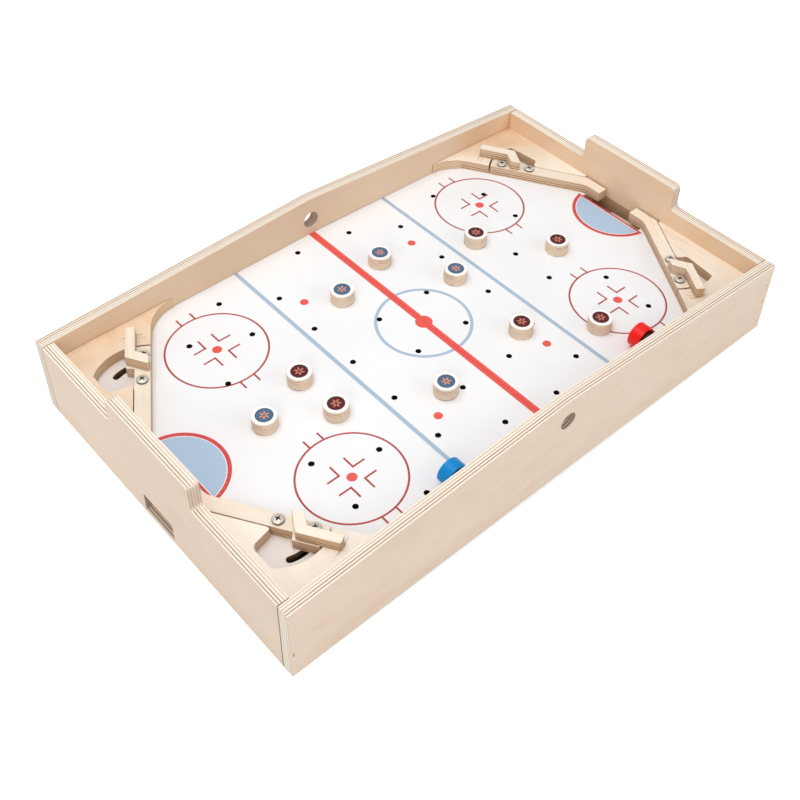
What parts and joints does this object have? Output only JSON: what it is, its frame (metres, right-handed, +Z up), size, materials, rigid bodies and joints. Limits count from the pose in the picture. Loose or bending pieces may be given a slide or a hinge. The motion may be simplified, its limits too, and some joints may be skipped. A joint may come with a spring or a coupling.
{
  "type": "table hockey game",
  "caption": "Wooden table hockey game: open plywood box with a roof-shaped ice board, corner flippers on pivots with handles, loose disc players, goal slots and ball windows in the end walls",
  "frame": {"origin": "at the bottom of the box, under the middle of the ice; +Z is up", "axes": "+X runs along the long side towards the right-hand goal, +Y runs from the front long wall to the rear long wall, +Z is up"},
  "size_m": [0.64, 0.396, 0.1175],
  "materials": {
    "birch_ply": "birch plywood, sanded, clear coat; bare edges show the plies",
    "ice": "thin board with a white printed face, satin",
    "pine": "planed softwood, unfinished",
    "player": "turned wooden disc with a printed round let into the top",
    "steel": "zinc plated",
    "red_cap": "smooth moulded plastic",
    "blue_cap": "smooth moulded plastic"
  },
  "bodies": {
    "box": {"front_side_wall": "birch_ply", "rear_side_wall": "birch_ply", "left_end_wall": "birch_ply", "right_end_wall": "birch_ply", "left_ice_board": "ice", "right_ice_board": "ice", "ridge_beam": "pine", "front_cleat": "pine", "rear_cleat": "pine", "left_goal_sill": "birch_ply", "left_return_floor": "birch_ply", "left_return_back": "birch_ply", "left_front_return_cheek": "birch_ply", "left_rear_return_cheek": "birch_ply", "left_pivot_rail": "pine", "left_front_corner_plate": "birch_ply", "left_front_pivot_screw": "steel", "left_rear_corner_plate": "birch_ply", "left_rear_pivot_screw": "steel", "right_goal_sill": "birch_ply", "right_return_floor": "birch_ply", "right_return_back": "birch_ply", "right_front_return_cheek": "birch_ply", "right_rear_return_cheek": "birch_ply", "right_pivot_rail": "pine", "right_front_corner_plate": "birch_ply", "right_front_pivot_screw": "steel", "right_rear_corner_plate": "birch_ply", "right_rear_pivot_screw": "steel", "red_cap_dowel": "pine", "blue_cap_dowel": "pine"},
    "left_front_flipper_arm": {"left_front_flipper": "birch_ply", "left_front_handle": "birch_ply", "left_front_guide_screw": "steel", "left_front_guide_nut": "steel"},
    "left_rear_flipper_arm": {"left_rear_flipper": "birch_ply", "left_rear_handle": "birch_ply", "left_rear_guide_screw": "steel", "left_rear_guide_nut": "steel"},
    "right_front_flipper_arm": {"right_front_flipper": "birch_ply", "right_front_handle": "birch_ply", "right_front_guide_screw": "steel", "right_front_guide_nut": "steel"},
    "right_rear_flipper_arm": {"right_rear_flipper": "birch_ply", "right_rear_handle": "birch_ply", "right_rear_guide_screw": "steel", "right_rear_guide_nut": "steel"},
    "red_player_1_body": {"red_player_1": "player"},
    "red_player_2_body": {"red_player_2": "player"},
    "red_player_3_body": {"red_player_3": "player"},
    "red_player_4_body": {"red_player_4": "player"},
    "red_player_5_body": {"red_player_5": "player"},
    "red_player_6_body": {"red_player_6": "player"},
    "blue_player_1_body": {"blue_player_1": "player"},
    "blue_player_2_body": {"blue_player_2": "player"},
    "blue_player_3_body": {"blue_player_3": "player"},
    "blue_player_4_body": {"blue_player_4": "player"},
    "blue_player_5_body": {"blue_player_5": "player"},
    "red_cap_body": {"red_cap": "red_cap"},
    "blue_cap_body": {"blue_cap": "blue_cap"}
  },
  "joints": [
    {"name": "left_front_flipper_pivot", "type": "hinge", "parent": "box", "child": "left_front_flipper_arm", "pos_m": [-0.26211, -0.10685, 0.06181], "axis": [0.0179, 0, -0.9998], "range_deg": [0, 50]},
    {"name": "left_rear_flipper_pivot", "type": "hinge", "parent": "box", "child": "left_rear_flipper_arm", "pos_m": [-0.26211, 0.10685, 0.06181], "axis": [-0.0179, 0, 0.9998], "range_deg": [0, 50]},
    {"name": "right_front_flipper_pivot", "type": "hinge", "parent": "box", "child": "right_front_flipper_arm", "pos_m": [0.26211, -0.10685, 0.06181], "axis": [0.0179, 0, 0.9998], "range_deg": [0, 26]},
    {"name": "right_rear_flipper_pivot", "type": "hinge", "parent": "box", "child": "right_rear_flipper_arm", "pos_m": [0.26211, 0.10685, 0.06181], "axis": [-0.0179, 0, -0.9998], "range_deg": [0, 26]},
    {"name": "red_player_1_lift", "type": "slide", "parent": "box", "child": "red_player_1_body", "axis": [0.0179, 0, 0.9998], "range_m": [0, 0.08]},
    {"name": "red_player_2_lift", "type": "slide", "parent": "box", "child": "red_player_2_body", "axis": [0.0179, 0, 0.9998], "range_m": [0, 0.08]},
    {"name": "red_player_3_lift", "type": "slide", "parent": "box", "child": "red_player_3_body", "axis": [0.0179, 0, 0.9998], "range_m": [0, 0.08]},
    {"name": "red_player_4_lift", "type": "slide", "parent": "box", "child": "red_player_4_body", "axis": [0.0179, 0, 0.9998], "range_m": [0, 0.08]},
    {"name": "red_player_5_lift", "type": "slide", "parent": "box", "child": "red_player_5_body", "axis": [-0.0179, 0, 0.9998], "range_m": [0, 0.08]},
    {"name": "red_player_6_lift", "type": "slide", "parent": "box", "child": "red_player_6_body", "axis": [-0.0179, 0, 0.9998], "range_m": [0, 0.08]},
    {"name": "blue_player_1_lift", "type": "slide", "parent": "box", "child": "blue_player_1_body", "axis": [0.0179, 0, 0.9998], "range_m": [0, 0.08]},
    {"name": "blue_player_2_lift", "type": "slide", "parent": "box", "child": "blue_player_2_body", "axis": [0.0179, 0, 0.9998], "range_m": [0, 0.08]},
    {"name": "blue_player_3_lift", "type": "slide", "parent": "box", "child": "blue_player_3_body", "axis": [-0.0179, 0, 0.9998], "range_m": [0, 0.08]},
    {"name": "blue_player_4_lift", "type": "slide", "parent": "box", "child": "blue_player_4_body", "axis": [-0.0179, 0, 0.9998], "range_m": [0, 0.08]},
    {"name": "blue_player_5_lift", "type": "slide", "parent": "box", "child": "blue_player_5_body", "axis": [-0.0179, 0, 0.9998], "range_m": [0, 0.08]},
    {"name": "red_cap_pull", "type": "slide", "parent": "box", "child": "red_cap_body", "axis": [0, 1, 0], "range_m": [0, 0.015]},
    {"name": "blue_cap_pull", "type": "slide", "parent": "box", "child": "blue_cap_body", "axis": [0, 1, 0], "range_m": [0, 0.015]}
  ]
}
